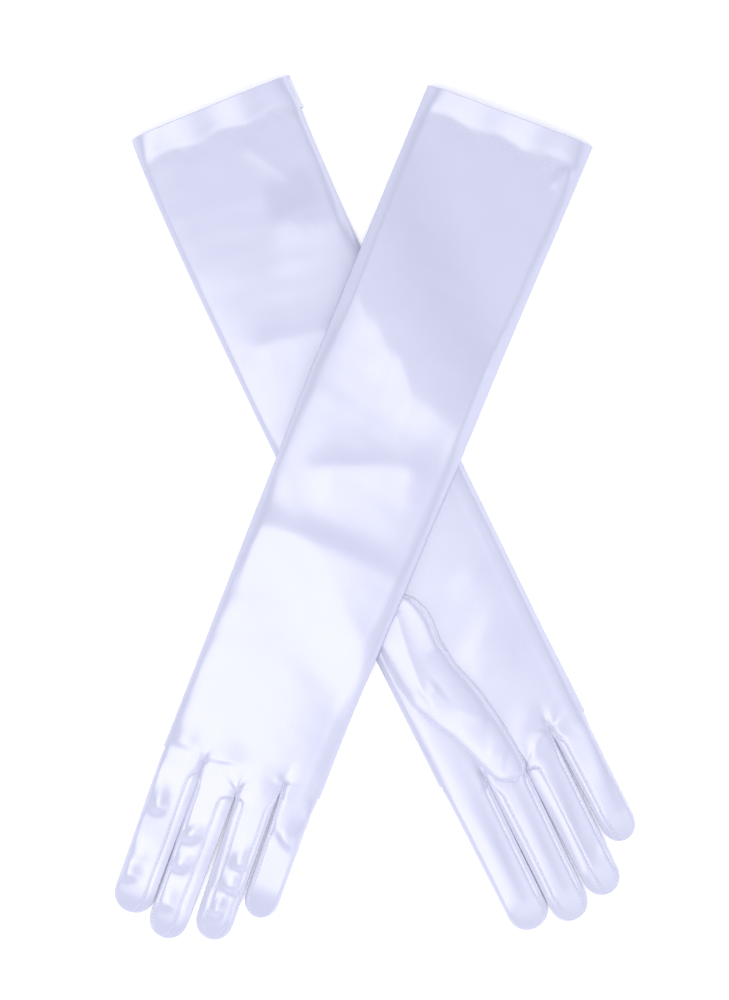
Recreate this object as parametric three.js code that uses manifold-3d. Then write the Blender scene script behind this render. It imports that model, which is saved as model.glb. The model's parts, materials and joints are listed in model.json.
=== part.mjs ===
// A pair of long satin opera gloves, laid flat and crossed: the right glove lies palm up on the table,
// and the left glove lies over it with its back up. Millimetres, +Z up.
// The origin is on the table, under the middle of the pair, and +Y runs towards the arm openings.
//
// Each glove is cut as one trank (back and palm in one, folded at the forefinger side and seamed at the
// little-finger side), a set-in thumb, and fourchettes: the strips along the sides of the fingers.
// A glove's own frame: +Y to the arm opening, +X to the little finger, origin between the finger roots.

import * as THREE from "three";
import { mergeVertices } from "three/addons/utils/BufferGeometryUtils.js";
import Module from "manifold-3d";

const wasm = await Module();
wasm.setup();

// ---- Driving dimensions --------------------------------------------------------------------------

const cloth = 0.6; // one layer of stretch satin
const seamGap = 0.3; // free space between two pieces that are sewn or lie together
const edgeHeight = 1.6; // height of the folded side edge above the lower layer
const flatShare = 0.71; // share of the width on which the lower layer is quite flat

const sleeveLength = 426; // from the finger roots to the arm opening
const mouthWidth = 101; // flat width of the arm opening
const sleeveWidth = 99; // flat width half-way up the arm
const handEase = -0.2; // flat width of the palm, more or less than the row of the fingers
const mouthFullness = 9; // height of the slightly open mouth, outside
const handFullness = 6; // height of the hand, outside
const pressedFullness = 5.5; // height of the lower sleeve where the upper one lies on it

const mouthSlantFrom = 250; // the slant of the opening dies out this far above the finger roots

const hemDepth = 20; // cloth turned in at the arm opening
const allowanceWidth = 6; // seam allowance inside the little-finger side
const allowanceInset = 1.9; // from the glove's side edge to the allowance
const labelSize = { width: 33, length: 24, thickness: 0.4 };
const labelFromMouth = 62; // from the arm opening to the label's nearer edge

const fingerFullness = 7.5; // height of an empty finger, outside
const rootRun = 12; // length over which a finger grows from the hand's height to its own
const tipRound = 12; // length of the rounded end of a finger
const tipShare = 0.93; // a finger's width before its rounded end, as a share of its width at the root
const fingersShift = 0.25; // how far the row of fingers stands towards the little finger's side
// gap: free space at the root to the finger before. line: where the finger bends, along the hand.
// fourchettes: visible width of the strip on the thumb's side (-1) or the little finger's side (+1).
const fingerCuts = [
  { name: "index", gap: 0, line: 1, width: 25.3, length: 84.5, fourchettes: { 1: 6 } },
  { name: "middle", gap: 0.65, line: -6, width: 23.8, length: 85, fourchettes: { "-1": 5, 1: 7 } },
  { name: "ring", gap: 0.65, line: -6, width: 22.9, length: 77.5, fourchettes: { "-1": 6, 1: 4 } },
  { name: "little", gap: 0.8, line: 8, width: 21.1, length: 68.5, fourchettes: { "-1": 4 } },
];

const thumbFullness = 4.6; // height of the folded-down thumb, outside
const thumbClearance = 0.8; // free space under the right thumb, so that it swings clear of the finger roots
const thumbRootRadius = 17;
const thumbHoleRadius = 11; // round hole in the palm where the thumb is set in
const thumbFromSide = 4.6; // from the palm's folded side to the thumb's round root
const thumbFromRoots = 92; // from the finger roots to the middle of the hole
// Middle line of the thumb from its hole to its tip, with the flat width there.
const thumbCut = [
  { x: 0, y: 0, width: 2 * thumbRootRadius },
  { x: 6, y: -29, width: 33 },
  { x: 14.5, y: -57, width: 29 },
  { x: 20, y: -80, width: 23 },
  { x: 21.5, y: -91, width: 17 },
];

const drapeRun = 45; // how far out the upper glove takes to come down to the table
const thumbBedRun = 26; // the same, where the left palm lies on its own thumb
const thumbBedReach = { left: 44, right: 36, below: 112, above: 18 }; // from the middle of the hole

// tilt: from +Y, anticlockwise. near: the side of the hand that faces the other glove, the thumb's (-1)
// or the little finger's (+1). beside: where that side lies on the table, level with the finger roots.
// bow: how far the sleeve bows to the thumb's side. splay: each finger's turn towards the little finger.
// spread: how wide the sleeve lies, as a share of its flat width.
// mouthSlant: how much longer the little-finger side is than the thumb's side at the arm opening.
const gloves = {
  right: {
    tilt: 25.1,
    near: -1,
    beside: { x: 41.895, y: -172.392 },
    bow: 4.2,
    bowSkew: 0.6,
    spread: 0.98,
    mouthSlant: -5,
    splay: [1.7, 0.8, 0.9, 1.2],
    palmUp: true,
    sleeveFullness: [handFullness, pressedFullness, pressedFullness, 7.2, mouthFullness],
    label: true,
  },
  left: {
    tilt: -22.3,
    near: 1,
    beside: { x: -39.56, y: -183.762 },
    bow: 1,
    bowSkew: 1,
    spread: 1.015,
    mouthSlant: 3,
    splay: [2.6, 2.4, 3.3, 2.8],
    palmUp: false,
    sleeveFullness: [handFullness, handFullness, handFullness, 7.6, mouthFullness],
    label: false,
  },
};
const fullnessAt = [0.16, 0.24, 0.66, 0.82, 1]; // share of the sleeve where each fullness holds

// The fingers stand side by side, so their roots and the palm's width follow from their own widths.
const rowWidth = fingerCuts.reduce((sum, finger) => sum + finger.gap + finger.width, 0);
const handWidth = rowWidth + handEase;
const fingers = fingerCuts.map((finger, i) => {
  const before = fingerCuts.slice(0, i).reduce((sum, f) => sum + f.gap + f.width, 0);
  return { ...finger, root: fingersShift - rowWidth / 2 + before + finger.gap + finger.width / 2 };
});

const thumbPivot = { x: -rowWidth / 2 + thumbFromSide + thumbRootRadius, y: thumbFromRoots };
const thumbLine = thumbCut.map((p) => ({ ...p, x: thumbPivot.x + p.x, y: thumbPivot.y + p.y }));
const thumbBed = {
  left: thumbPivot.x - thumbBedReach.left,
  right: thumbPivot.x + thumbBedReach.right,
  bottom: thumbPivot.y - thumbBedReach.below,
  top: thumbPivot.y + thumbBedReach.above,
};

// ---- Small tools ---------------------------------------------------------------------------------

const radians = THREE.MathUtils.degToRad;
const smooth = (t) => THREE.MathUtils.smoothstep(t, 0, 1);

// Value at x on the line through (xs[i], ys[i]), rounded at the corners.
function along(x, xs, ys) {
  const i = xs.findIndex((edge) => x < edge);
  if (i === 0) return ys[0];
  if (i < 0) return ys[ys.length - 1];
  return ys[i - 1] + (ys[i] - ys[i - 1]) * smooth((x - xs[i - 1]) / (xs[i] - xs[i - 1]));
}

// A closed body through rings of equal length, its two ends capped.
function loft(rings) {
  const size = rings[0].length;
  const points = rings.flat();
  const faces = [];
  const cap = (ring, first, forward) => {
    const middle = new THREE.Vector3();
    ring.forEach((p) => middle.addScaledVector(p, 1 / size));
    points.push(middle);
    for (let i = 0; i < size; i += 1) {
      const a = first + i;
      const b = first + ((i + 1) % size);
      faces.push(forward ? [points.length - 1, a, b] : [points.length - 1, b, a]);
    }
  };
  for (let r = 0; r + 1 < rings.length; r += 1) {
    for (let i = 0; i < size; i += 1) {
      const a = r * size + i;
      const b = r * size + ((i + 1) % size);
      faces.push([a, a + size, b], [b, a + size, b + size]);
    }
  }
  cap(rings[0], 0, true);
  cap(rings[rings.length - 1], (rings.length - 1) * size, false);
  const outwards = volumeWithin(points, faces) > 0;
  const geometry = new THREE.BufferGeometry().setFromPoints(points);
  geometry.setIndex(outwards ? faces.flat() : faces.flat().reverse());
  return solid(geometry);
}

// Positive when the faces look outwards.
function volumeWithin(points, faces) {
  const share = ([a, b, c]) => points[a].dot(new THREE.Vector3().crossVectors(points[b], points[c])) / 6;
  return faces.reduce((sum, face) => sum + share(face), 0);
}

function solid(geometry) {
  const bare = geometry.clone();
  bare.deleteAttribute("normal");
  bare.deleteAttribute("uv");
  const merged = mergeVertices(bare, 1e-4);
  const mesh = new wasm.Mesh({
    numProp: 3,
    vertProperties: new Float32Array(merged.attributes.position.array),
    triVerts: new Uint32Array(merged.index.array),
  });
  const made = new wasm.Manifold(mesh);
  return made;
}

function geometryOf(body) {
  const mesh = body.getMesh();
  const points = new Float32Array(mesh.numVert * 3);
  for (let i = 0; i < mesh.numVert; i += 1) {
    points.set(mesh.vertProperties.subarray(i * mesh.numProp, i * mesh.numProp + 3), i * 3);
  }
  const geometry = new THREE.BufferGeometry();
  geometry.setAttribute("position", new THREE.BufferAttribute(points, 3));
  geometry.setIndex(new THREE.BufferAttribute(new Uint32Array(mesh.triVerts), 1));
  geometry.computeVertexNormals();
  return geometry;
}

// An upright prism over a flat outline, tall enough to pass through a glove.
function prism(outline) {
  const tall = 60;
  const extruded = new THREE.ExtrudeGeometry(outline, { depth: tall, bevelEnabled: false, curveSegments: 10 });
  return solid(extruded.translate(0, 0, -tall / 2));
}

function box(x0, x1, y0, y1) {
  const corners = [[x0, y0], [x1, y0], [x1, y1], [x0, y1]];
  return prism(new THREE.Shape(corners.map(([x, y]) => new THREE.Vector2(x, y))));
}

// The flattened ring of an empty tube of cloth: the lower layer lies flat and turns up at its sides,
// the upper one is crowned, and both meet in the side edges. inset moves the ring inwards.
function flatRing(columns, halfWidth, fullness, inset, squareness) {
  const ring = [];
  const place = (i) => Math.sin((Math.PI / 2) * ((2 * i) / (columns - 1) - 1));
  const crown = (q) => Math.sqrt(Math.max(0, 1 - Math.abs(q) ** squareness));
  const flat = (q) => Math.sqrt(1 - Math.max(0, (Math.abs(q) - flatShare) / (1 - flatShare)) ** 2);
  const edge = Math.max(edgeHeight, inset + 0.2);
  for (let i = 0; i < columns; i += 1) {
    const q = place(i);
    ring.push({ x: q * (halfWidth - inset), z: edge + (fullness - inset - edge) * crown(q) });
  }
  for (let i = columns - 2; i > 0; i -= 1) {
    const q = place(i);
    ring.push({ x: q * (halfWidth - inset), z: edge - (edge - inset) * flat(q) });
  }
  return ring;
}

// ---- How the gloves lie ---------------------------------------------------------------------------

const sleeveMiddle = (glove, y) => {
  const t = THREE.MathUtils.clamp(1 - y / sleeveLength, 0, 1);
  return -glove.bow * Math.sin(Math.PI * t ** glove.bowSkew);
};

function sleeveHalfWidth(glove, y) {
  const share = y / sleeveLength;
  const flat = along(share, [0.1, 0.4, 0.6, 1], [handWidth, (handWidth + sleeveWidth) / 2, sleeveWidth, mouthWidth]);
  return (flat / 2) * along(share, [0.1, 0.5], [1, glove.spread]);
}

const sleeveFullness = (glove, y) => along(y / sleeveLength, fullnessAt, glove.sleeveFullness);

// Each glove's own origin on the table.
for (const glove of Object.values(gloves)) {
  const half = (glove.near * rowWidth) / 2;
  const turn = radians(glove.tilt);
  glove.knuckles = { x: glove.beside.x - half * Math.cos(turn), y: glove.beside.y - half * Math.sin(turn) };
}

const intoGlove = (glove, x, y) => {
  const point = new THREE.Vector2(x - glove.knuckles.x, y - glove.knuckles.y);
  return point.rotateAround(new THREE.Vector2(), -radians(glove.tilt));
};

const outOfGlove = (glove, x, y) => {
  const point = new THREE.Vector2(x, y).rotateAround(new THREE.Vector2(), radians(glove.tilt));
  return point.set(point.x + glove.knuckles.x, point.y + glove.knuckles.y);
};

// Height of the left glove's lower layer: it climbs over the right sleeve, and over its own thumb.
function lift(glove, x, y) {
  if (glove.palmUp) return 0;
  const table = outOfGlove(glove, x, y);
  const under = intoGlove(gloves.right, table.x, table.y);
  const outside = Math.abs(under.x - sleeveMiddle(gloves.right, under.y)) - sleeveHalfWidth(gloves.right, under.y);
  const overSleeve = (pressedFullness + seamGap + 0.1) * (1 - smooth(outside / drapeRun));
  const acrossBed = Math.max(thumbBed.left - x, x - thumbBed.right, 0);
  const alongBed = Math.max(thumbBed.bottom - y, y - thumbBed.top, 0);
  const fromBed = Math.hypot(acrossBed, alongBed);
  const overThumb = (thumbFullness + seamGap) * (1 - smooth(fromBed / thumbBedRun));
  return Math.hypot(overSleeve, overThumb);
}

// A point of the sleeve, on the slant that grows towards the arm opening and on what the glove lies on.
function laid(glove, x, y, z) {
  const share = smooth((y - mouthSlantFrom) / (sleeveLength - mouthSlantFrom));
  const slant = (glove.mouthSlant / mouthWidth) * share * (x - sleeveMiddle(glove, y));
  return new THREE.Vector3(x, y + slant, z + lift(glove, x, y));
}

// ---- The pieces of one glove ----------------------------------------------------------------------

const sleeveColumns = 13;
const fingerColumns = 7;

// Where a glove's sections stand, from the lowest bend line to the arm opening, and those in the hem.
const hemStations = [sleeveLength - hemDepth, sleeveLength - hemDepth / 2, sleeveLength];
function stations(glove) {
  const steps = glove.palmUp ? 18 : 30;
  const lowest = Math.min(...fingers.map((f) => f.line));
  const pitch = (hemStations[0] - lowest) / steps;
  return [...Array.from({ length: steps }, (_, i) => lowest + pitch * i), ...hemStations];
}

// The sleeve and hand through those sections, as a closed body made smaller by the inset.
// reach draws both ends out, for cutting.
function sleeveBody(glove, stops, inset, reach) {
  const ringAt = (y, shift) => {
    const middle = sleeveMiddle(glove, y);
    const ring = flatRing(sleeveColumns, sleeveHalfWidth(glove, y), sleeveFullness(glove, y), inset, 5);
    return ring.map((p) => laid(glove, middle + p.x, y, p.z).add({ x: 0, y: shift, z: 0 }));
  };
  const rings = stops.map((y) => ringAt(y, 0));
  if (reach) {
    rings.unshift(ringAt(stops[0], -reach));
    rings.push(ringAt(stops[stops.length - 1], reach));
  }
  return loft(rings);
}

const sleeveShell = (glove, stops, inset) =>
  sleeveBody(glove, stops, inset, 0).subtract(sleeveBody(glove, stops, inset + cloth, 1));

const thumbHole = () => {
  const outline = new THREE.Shape();
  outline.absarc(thumbPivot.x, thumbPivot.y, thumbHoleRadius, 0, Math.PI * 2);
  return prism(outline);
};

// The layer of the palm side only, so that the thumb hole misses the back of the hand.
function palmSide(glove, body) {
  const middle = sleeveFullness(glove, thumbPivot.y) / 2;
  const height = lift(glove, thumbPivot.x, thumbPivot.y) + middle;
  return body.trimByPlane([0, 0, glove.palmUp ? 1 : -1], glove.palmUp ? height : -height);
}

// Back and palm in one. It stops at the bend line of each finger.
function trank(glove) {
  const [index, middle, ring, little] = fingers;
  const wide = handWidth;
  const reach = (finger, next, turn) => Math.max(0, (finger.line - next.line) * Math.tan(radians(turn)));
  const indexSide = index.root + index.width / 2 + seamGap + reach(index, middle, glove.splay[0]);
  const littleSide = little.root - little.width / 2 - seamGap - reach(little, ring, -glove.splay[3]);
  return sleeveShell(glove, stations(glove), 0)
    .subtract(box(-wide, indexSide, -wide, index.line))
    .subtract(box(littleSide, wide, -wide, little.line))
    .subtract(palmSide(glove, thumbHole()));
}

// The cloth turned in at the arm opening and stitched down.
const hem = (glove) => sleeveShell(glove, hemStations, cloth + seamGap);

// The two raw edges of the side seam, laid together inside the little-finger side.
function seamAllowance(glove) {
  const first = fingers[3].line + 5;
  const last = sleeveLength - hemDepth - 2;
  const rings = [];
  for (const y of [first, ...stations(glove).filter((stop) => stop > first && stop < last), last]) {
    const outer = sleeveMiddle(glove, y) + sleeveHalfWidth(glove, y) - allowanceInset;
    const inner = outer - allowanceWidth;
    const low = edgeHeight - 0.1;
    const corners = [[inner, low + cloth], [outer, low + cloth], [outer, low], [inner, low]];
    rings.push(corners.map(([x, z]) => laid(glove, x, y, z)));
  }
  return loft(rings);
}

// A blank woven label, caught in the side seam and lying on the inside of the cloth.
function label(glove) {
  const top = sleeveLength - labelFromMouth;
  const seam = sleeveMiddle(glove, top) + sleeveHalfWidth(glove, top) - allowanceInset - allowanceWidth - seamGap;
  const sheet = new THREE.BoxGeometry(labelSize.width, labelSize.length, labelSize.thickness);
  const height = cloth + seamGap + 0.2 + labelSize.thickness / 2;
  return solid(sheet.translate(seam - 2 - labelSize.width / 2, top - labelSize.length / 2, height));
}

// Width share of a finger at distance d from its root: nearly straight, then a rounded end.
function fingerTaper(d, length) {
  const straight = length - tipRound;
  if (d < straight) return 1 - (1 - tipShare) * smooth(d / straight);
  const t = Math.min((d - straight) / tipRound, 0.995);
  return tipShare * Math.sqrt(1 - t ** 2.4);
}

// One finger as a closed body in its own frame: root at the origin, pointing along -y.
// It starts a little above its root, to be cut off along the bend line.
function fingerBody(place, finger, inset) {
  const straightSteps = 6;
  const straight = finger.length - tipRound;
  const stops = Array.from({ length: straightSteps + 1 }, (_, i) => (straight * i) / straightSteps);
  for (const share of [0.45, 0.75, 0.93]) stops.push(straight + tipRound * share);
  stops[0] = inset ? -4 : -3;
  const rings = stops.map((stop) => {
    const d = stop - inset * Math.max(0, stop / finger.length);
    const share = fingerTaper(Math.max(0, stop), finger.length);
    const grown = handFullness + (fingerFullness - handFullness) * smooth(stop / rootRun);
    const fullness = Math.max(grown * (0.35 + 0.65 * share), inset * 2 + 1);
    const ring = flatRing(fingerColumns, (finger.width / 2) * share, fullness, inset, 2.4);
    return ring.map((p) => {
      const on = place(p.x, -d);
      return new THREE.Vector3(p.x, -d, p.z + on);
    });
  });
  return loft(rings.reverse());
}

// The strip of a finger's side that a fourchette takes, as an outline that narrows to the tip.
function stripOutline(finger, side, width, clearance) {
  const edge = side * (finger.width / 2 + 5);
  const seam = (d, w) => side * ((finger.width / 2) * fingerTaper(d, finger.length) - w + clearance);
  const end = finger.length - tipRound * 0.6;
  const corners = [[edge, 5]];
  corners.push([seam(0, width), 5 * (clearance ? -1 : 1) + (clearance ? 5 - seamGap : 0)]);
  for (const t of [0.3, 0.6, 0.85]) corners.push([seam(end * t, width * (1 - 0.25 * t)), -end * t]);
  corners.push([seam(end, clearance ? 0.2 : 0), -end + clearance]);
  corners.push([edge, -end + clearance]);
  return new THREE.Shape(corners.map(([x, y]) => new THREE.Vector2(x, y)));
}

function thumbBody(inset) {
  const cap = [0.93, 0.75, 0.4];
  const rings = [];
  const start = thumbLine[0];
  const line = new THREE.CatmullRomCurve3(thumbLine.map((p) => new THREE.Vector3(p.x, p.y, 0)));
  const first = line.getTangentAt(0);
  const ringAt = (middle, direction, halfWidth, fullness) => {
    const across = new THREE.Vector3(-direction.y, direction.x, 0);
    const ring = flatRing(fingerColumns, Math.max(halfWidth, inset + 0.5), fullness, inset, 3);
    rings.push(
      ring.map((p) => middle.clone().addScaledVector(across, p.x).setZ(p.z)),
    );
  };
  const rootFullness = thumbFullness * 0.75;
  const least = 2 * inset + 0.8;
  for (const share of cap) {
    const back = (thumbRootRadius - inset) * share;
    const middle = new THREE.Vector3(start.x, start.y, 0).addScaledVector(first, -back);
    const half = thumbRootRadius * Math.sqrt(1 - share * share);
    ringAt(middle, first, half, Math.max(least, rootFullness * (1 - 0.4 * share)));
  }
  const steps = 10;
  const total = line.getLength();
  for (let i = 0; i <= steps; i += 1) {
    const t = i / steps;
    const at = line.getPointAt(t * (1 - inset / total));
    const stations = thumbLine.map((p, k) => k / (thumbLine.length - 1));
    const width = along(t, stations, thumbLine.map((p) => p.width));
    const round = t > 0.9 ? Math.sqrt(1 - ((t - 0.9) / 0.115) ** 2) : 1;
    const fullness = Math.max(least, along(t, [0, 0.35, 1], [rootFullness, thumbFullness, thumbFullness * 0.8]));
    ringAt(at, line.getTangentAt(t), (width / 2) * round, fullness);
  }
  return loft(rings);
}

// The thumb, closed at its tip, with the round opening at its root that is sewn to the hole in the palm.
function thumb(glove) {
  const shell = thumbBody(0).subtract(thumbBody(cloth));
  const half = thumbFullness / 2;
  const opening = thumbHole().trimByPlane([0, 0, glove.palmUp ? -1 : 1], glove.palmUp ? -half * 0.8 : half * 0.8);
  return shell.subtract(opening).translate([0, 0, glove.palmUp ? handFullness + thumbClearance : 0]);
}

// ---- Assembly ---------------------------------------------------------------------------------------

const satin = new THREE.MeshStandardMaterial({ color: 0xe9e9f6, roughness: 0.35, metalness: 0 });
const satinInside = new THREE.MeshStandardMaterial({ color: 0xdfe0ec, roughness: 0.6, metalness: 0 });
const labelTape = new THREE.MeshStandardMaterial({ color: 0xf2f2f0, roughness: 0.8, metalness: 0 });

function piece(name, body, material) {
  const mesh = new THREE.Mesh(geometryOf(body), material);
  mesh.name = name;
  return mesh;
}

// The finger's share of the trank, and the fourchettes at its sides, as a group at the finger's root.
function fingerGroup(side, glove, finger, splay) {
  const group = new THREE.Group();
  group.position.set(finger.root, finger.line, 0);
  group.rotation.z = radians(splay);
  const place = (x, y) => {
    const at = new THREE.Vector2(x, y).rotateAround(new THREE.Vector2(), radians(splay));
    return lift(glove, finger.root + at.x, finger.line + at.y);
  };
  const alongGlove = [-Math.sin(radians(splay)), -Math.cos(radians(splay)), 0];
  const shell = fingerBody(place, finger, 0)
    .subtract(fingerBody(place, finger, cloth))
    .trimByPlane(alongGlove, seamGap);
  let stall = shell;
  for (const [sign, width] of Object.entries(finger.fourchettes)) {
    const toward = Number(sign) < 0 ? "inner" : "outer";
    stall = stall.subtract(prism(orient(stripOutline(finger, Number(sign), width, 0))));
    const strip = shell.intersect(prism(orient(stripOutline(finger, Number(sign), width, seamGap))));
    group.add(piece(`${side}_${finger.name}_fourchette_${toward}`, strip, satin));
  }
  group.add(piece(`${side}_${finger.name}_stall`, stall, satin));
  return group;
}

// Extrusion wants its outline anticlockwise.
function orient(outline) {
  const points = outline.getPoints();
  return THREE.ShapeUtils.isClockWise(points) ? new THREE.Shape(points.reverse()) : outline;
}

function gloveGroup(side, glove) {
  const group = new THREE.Group();
  group.position.set(glove.knuckles.x, glove.knuckles.y, 0);
  group.rotation.z = radians(glove.tilt);
  group.add(piece(`${side}_trank`, trank(glove), satin));
  group.add(piece(`${side}_hem`, hem(glove), satinInside));
  group.add(piece(`${side}_seam_allowance`, seamAllowance(glove), satinInside));
  group.add(piece(`${side}_thumb`, thumb(glove), satin));
  if (glove.label) group.add(piece(`${side}_label`, label(glove), labelTape));
  fingers.forEach((finger, i) => group.add(fingerGroup(side, glove, finger, glove.splay[i])));
  return group;
}

const pair = new THREE.Group();
for (const [side, glove] of Object.entries(gloves)) pair.add(gloveGroup(side, glove));

const bounds = new THREE.Box3().setFromObject(pair, true);
const middle = bounds.getCenter(new THREE.Vector3());
pair.position.set(-middle.x, -middle.y, -bounds.min.z);

export default pair;
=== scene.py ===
import json
import math

import bpy
import numpy as np
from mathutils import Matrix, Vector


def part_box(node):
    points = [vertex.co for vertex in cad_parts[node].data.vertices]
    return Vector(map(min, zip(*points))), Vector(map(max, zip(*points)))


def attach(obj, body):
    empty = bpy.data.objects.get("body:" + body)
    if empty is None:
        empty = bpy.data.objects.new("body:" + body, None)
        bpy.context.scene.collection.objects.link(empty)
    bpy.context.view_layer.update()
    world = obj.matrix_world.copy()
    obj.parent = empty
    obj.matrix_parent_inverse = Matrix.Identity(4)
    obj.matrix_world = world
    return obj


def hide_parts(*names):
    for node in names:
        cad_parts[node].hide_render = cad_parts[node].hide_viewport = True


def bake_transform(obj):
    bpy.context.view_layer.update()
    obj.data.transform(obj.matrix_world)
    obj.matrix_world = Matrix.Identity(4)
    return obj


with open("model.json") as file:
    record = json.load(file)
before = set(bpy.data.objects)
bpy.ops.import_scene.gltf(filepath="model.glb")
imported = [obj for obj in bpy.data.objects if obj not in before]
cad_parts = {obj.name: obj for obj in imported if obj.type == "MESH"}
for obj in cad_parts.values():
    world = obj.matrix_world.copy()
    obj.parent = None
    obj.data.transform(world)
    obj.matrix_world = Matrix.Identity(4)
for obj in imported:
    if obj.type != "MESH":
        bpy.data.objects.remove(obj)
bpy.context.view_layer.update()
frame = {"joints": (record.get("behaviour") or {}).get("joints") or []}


# ---- The cut of the gloves ---------------------------------------------------------------------
# Each glove is cut from stretch satin as one trank, back and palm together, folded at the
# forefinger side and seamed at the little-finger side. Sizes in millimetres, in the glove's own
# frame: y to the arm opening, x to the little finger, 0 between the finger roots.

SLEEVE_LENGTH = 426
HEM_DEPTH = 20
THICKNESS = 0.35
FIRST_ROOT = (-34.7, 1.0)  # the forefinger's bend, in the glove's frame

# where the slits between the fingers end, with the two outer edges of the hand
CROTCHES = {
    "right": [(-47.3, 12.5), (-21.0, 7.0), (2.4, 2.6), (25.4, 16.0), (47.9, 17.0)],
    "left": [(-47.3, 12.5), (-22.6, 12.0), (1.8, 3.0), (25.6, 18.5), (47.9, 17.5)],
}
# length from the middle of its two slits; strips: visible width of the fourchette at each side
FINGERS = {
    "index": dict(width=25.3, length={"right": 95.5, "left": 98.0}),
    "middle": dict(width=23.8, length={"right": 96.0, "left": 99.5}),
    "ring": dict(width=22.9, length={"right": 95.0, "left": 93.5}),
    "little": dict(width=21.1, length={"right": 78.0, "left": 78.5}),
}
STRIPS = {
    "right": {"index": (0, 3.2), "middle": (4.8, 3.0), "ring": (7.6, 2.0), "little": (4.4, 0)},
    "left": {"index": (0, 6.0), "middle": (2.0, 7.4), "ring": (5.2, 3.4), "little": (2.0, 0)},
}
GLOVES = {
    "right": dict(bow=4.2, bow_skew=0.6, spread=0.98, slant=-5.0, splay=(1.3, 0.9, 1.6, 1.8)),
    "left": dict(bow=1.0, bow_skew=1.0, spread=1.015, slant=3.0, splay=(2.3, 2.3, 3.6, 2.9)),
}


def smooth(t):
    t = np.clip(t, 0.0, 1.0)
    return t * t * (3 - 2 * t)


def stepped(x, xs, ys):
    """Value at x through the points (xs, ys), eased from each to the next."""
    x = np.asarray(x, float)
    out = np.full(x.shape, float(ys[0]))
    for x0, x1, y0, y1 in zip(xs, xs[1:], ys, ys[1:]):
        out = np.where(x > x0, y0 + (y1 - y0) * smooth((x - x0) / (x1 - x0)), out)
    return out


# each glove's place on the table comes from its fingers' bend lines in the frame
joints = {joint["name"]: joint for joint in frame["joints"]}
for side, glove in GLOVES.items():
    index = joints[side + "_index_bend"]
    glove["tilt"] = math.atan2(-index["axis"][1], -index["axis"][0])
    c, s = math.cos(glove["tilt"]), math.sin(glove["tilt"])
    glove["turn"] = np.array([[c, -s], [s, c]])
    glove["origin"] = np.array(index["pos_m"][:2]) * 1000 - glove["turn"] @ np.array(FIRST_ROOT)


def to_table(glove, points):
    flat = points[..., :2] @ glove["turn"].T + glove["origin"]
    return np.concatenate([flat, points[..., 2:]], -1)


def turned_to_table(glove, normals):
    return np.concatenate([normals[..., :2] @ glove["turn"].T, normals[..., 2:]], -1)


def from_table(glove, flat):
    return (flat - glove["origin"]) @ glove["turn"]


def sleeve_middle(glove, y):
    t = np.clip(1 - y / SLEEVE_LENGTH, 0, 1)
    return -glove["bow"] * np.sin(math.pi * t ** glove["bow_skew"])


def sleeve_half_width(glove, y):
    flat = stepped(y / SLEEVE_LENGTH, (0.1, 0.4, 0.6, 1), (95, 97, 99, 101)) / 2
    return flat * stepped(y / SLEEVE_LENGTH, (0.1, 0.5), (1, glove["spread"]))


SLEEVE_BELOW = 5.9  # height of the right sleeve, where the left one lies on it
THUMB_BELOW = 4.9  # height of the left thumb, folded under its palm
THUMB_BED = dict(right=0, bottom=-12, top=150)
BED_RUNS = dict(right=100, bottom=48, top=28)  # how far out the palm takes to come down from it


def table_lift(side, x, y):
    """Height of the glove's lower layer: the left one climbs over the right, and over its thumb."""
    if side == "right":
        return np.zeros(np.shape(x))
    flat = np.stack([x, y], -1) @ GLOVES["left"]["turn"].T + GLOVES["left"]["origin"]
    under = from_table(GLOVES["right"], flat)
    beyond = under[..., 0] - sleeve_middle(GLOVES["right"], under[..., 1])
    outside = np.abs(beyond) - sleeve_half_width(GLOVES["right"], under[..., 1])
    run = np.where(beyond > 0, 62.0, 45.0)
    over_sleeve = SLEEVE_BELOW * (1 - smooth(outside / run))
    across = np.maximum(x - THUMB_BED["right"], 0) / BED_RUNS["right"]
    below = np.maximum(THUMB_BED["bottom"] - y, 0) / BED_RUNS["bottom"]
    above = np.maximum(y - THUMB_BED["top"], 0) / BED_RUNS["top"]
    over_thumb = THUMB_BELOW * (1 - smooth(np.hypot(across, below + above)))
    return np.hypot(over_sleeve, over_thumb)


# ---- White satin -------------------------------------------------------------------------------
# Warp-faced stretch satin, white with a cool lavender cast. Its long floats run along the
# glove, which draws highlights out across it; its back is matt, and so is the woven label.


def linear(colour):
    """An sRGB hex colour as linear RGBA."""
    parts = [int(colour[k : k + 2], 16) / 255 for k in (1, 3, 5)]
    return [c / 12.92 if c <= 0.04045 else ((c + 0.055) / 1.055) ** 2.4 for c in parts] + [1.0]


def add_node(tree, kind, settings=(), **links):
    """Adds a node, sets its properties and its inputs (@name or @number), and links its inputs."""
    made = tree.nodes.new(kind)
    for key, value in dict(settings).items():
        if key.startswith("@"):
            socket = made.inputs[int(key[1:])] if key[1:].isdigit() else made.inputs[key[1:]]
            socket.default_value = value
        else:
            setattr(made, key, value)
    for key, source in links.items():
        socket = made.inputs[int(key[1:])] if key[1:].isdigit() else made.inputs[key.replace("_", " ")]
        tree.links.new(source, socket)
    return made


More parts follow.
